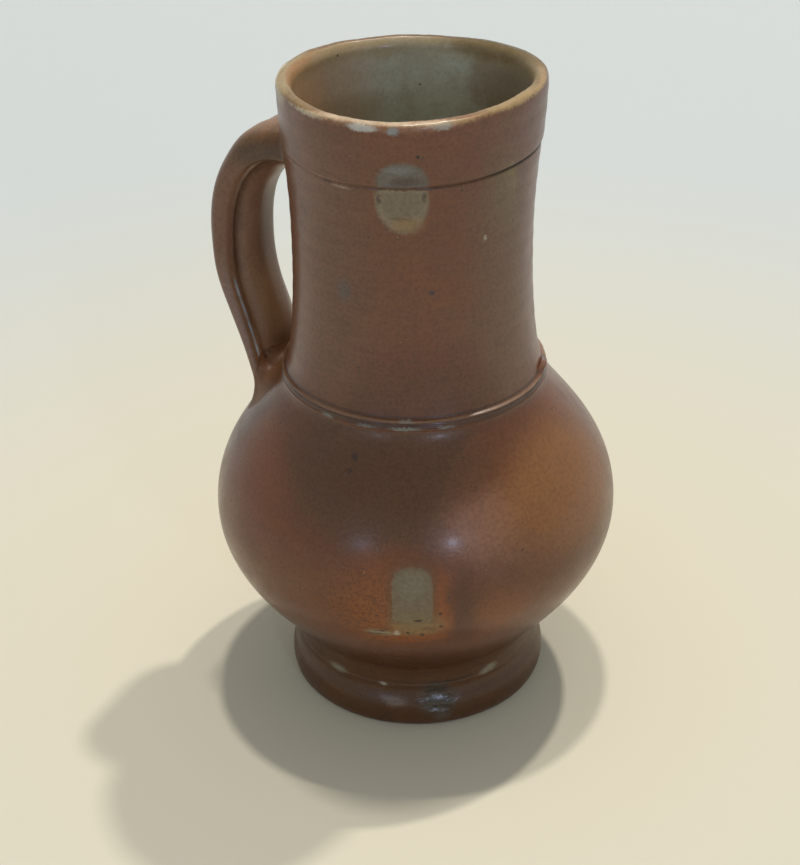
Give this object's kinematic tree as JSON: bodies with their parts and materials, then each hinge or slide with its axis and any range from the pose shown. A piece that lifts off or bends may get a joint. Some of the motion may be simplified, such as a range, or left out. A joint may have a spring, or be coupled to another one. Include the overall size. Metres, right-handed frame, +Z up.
{
  "type": "stoneware jug",
  "caption": "Small stoneware drinking jug with a globular belly, tall cylindrical neck, splayed foot ring and a pulled strap handle.",
  "frame": {"origin": "centre of the flat resting face, on the jug's axis", "axes": "+Z up along the jug's axis, the handle on the -X side in the XZ plane"},
  "size_m": [0.1032, 0.1032, 0.1653],
  "materials": {
    "body_glaze": "salt-glazed stoneware, brown, satin to glossy",
    "neck_glaze": "salt-glazed stoneware, reddish brown with a grey sheen",
    "handle_glaze": "salt-glazed stoneware, dark brown",
    "foot_glaze": "salt-glazed stoneware, dark brown, glossy"
  },
  "bodies": {
    "root": {"foot_ring": "foot_glaze", "belly": "body_glaze", "neck": "neck_glaze", "neck_cordon": "neck_glaze", "handle": "handle_glaze", "handle_root_luting": "handle_glaze", "handle_landing_luting": "handle_glaze"}
  },
  "joints": []
}
